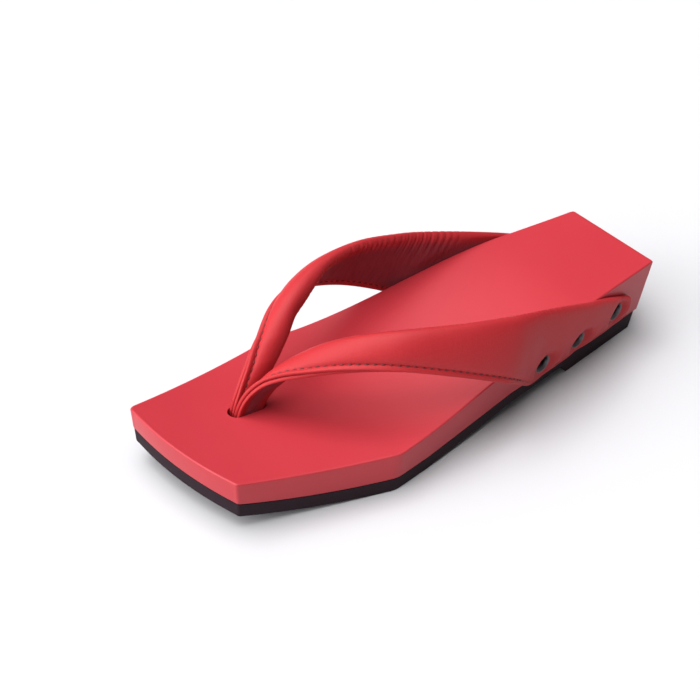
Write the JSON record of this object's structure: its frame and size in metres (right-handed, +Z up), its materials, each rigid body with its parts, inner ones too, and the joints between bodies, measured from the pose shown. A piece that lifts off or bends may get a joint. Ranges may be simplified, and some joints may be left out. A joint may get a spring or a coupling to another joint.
{
  "type": "geta sandal",
  "caption": "Left geta sandal: angular red lacquered wooden platform on a black rubber sole, with a padded red leather thong strap fixed at the sides by hollow eyelets",
  "frame": {"origin": "on the floor, under the middle of the shoe's box", "axes": "+Z up, +Y from toe to heel, +X to the outer side of the left foot"},
  "size_m": [0.0969, 0.2448, 0.0621],
  "materials": {
    "red_lacquer": "smooth satin lacquer",
    "black_rubber": "matt moulded rubber",
    "red_leather": "smooth grain leather, soft sheen",
    "dark_metal": "dark plated"
  },
  "bodies": {
    "root": {"base_wood": "red_lacquer", "outsole": "black_rubber", "strap_upper": "red_leather", "eyelet_outer_1": "dark_metal", "eyelet_outer_2": "dark_metal", "eyelet_outer_3": "dark_metal", "eyelet_inner_1": "dark_metal", "eyelet_inner_2": "dark_metal", "eyelet_inner_3": "dark_metal"}
  },
  "joints": []
}
